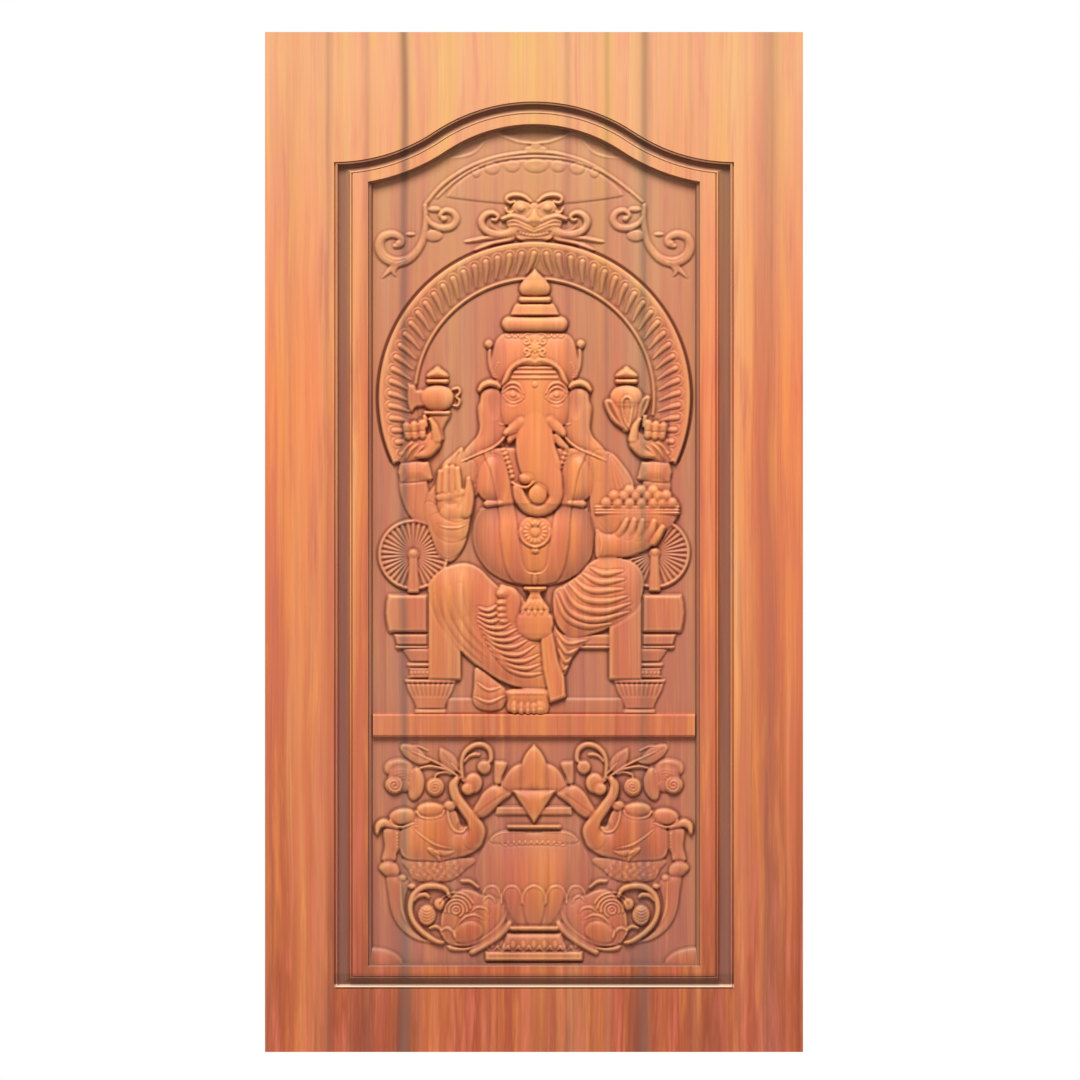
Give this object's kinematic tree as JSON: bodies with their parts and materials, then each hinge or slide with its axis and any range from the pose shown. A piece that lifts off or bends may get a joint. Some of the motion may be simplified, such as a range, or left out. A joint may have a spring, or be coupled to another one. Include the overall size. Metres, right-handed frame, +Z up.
{
  "type": "carved temple door",
  "caption": "Carved teak temple door leaf: stiles, rails and an ogee-headed moulding round two relief panels, hung on three surface hinges so that it swings open.",
  "frame": {"origin": "middle of the leaf's bottom edge, on its centre line and half way through its thickness", "axes": "+Z up, +X toward the closing stile, carved face toward -Y, hinges at -X"},
  "size_m": [1.076, 0.11, 2.04],
  "materials": {
    "frame_wood": "satin oiled teak",
    "panel_wood": "satin oiled teak",
    "moulding_wood": "satin oiled teak",
    "hinge_brass": "brushed",
    "pin_steel": "turned"
  },
  "bodies": {
    "jamb_side": {"top_hinge_jamb_plate": "hinge_brass", "top_hinge_pin": "pin_steel", "middle_hinge_jamb_plate": "hinge_brass", "middle_hinge_pin": "pin_steel", "bottom_hinge_jamb_plate": "hinge_brass", "bottom_hinge_pin": "pin_steel"},
    "leaf": {"left_stile": "frame_wood", "right_stile": "frame_wood", "top_rail": "frame_wood", "middle_rail": "moulding_wood", "bottom_rail": "frame_wood", "upper_panel": "panel_wood", "lower_panel": "panel_wood", "left_moulding": "moulding_wood", "right_moulding": "moulding_wood", "bottom_moulding": "moulding_wood", "crown_moulding": "moulding_wood", "left_flank_moulding": "moulding_wood", "right_flank_moulding": "moulding_wood", "tenon_pegs": "moulding_wood", "top_hinge_leaf_plate": "hinge_brass", "middle_hinge_leaf_plate": "hinge_brass", "bottom_hinge_leaf_plate": "hinge_brass", "hinge_screws": "hinge_brass"}
  },
  "joints": [
    {"name": "leaf_swing", "type": "hinge", "parent": "jamb_side", "child": "leaf", "pos_m": [-0.53, 0.033, 1.02], "axis": [0, 0, 1], "range_deg": [0, 95]}
  ]
}
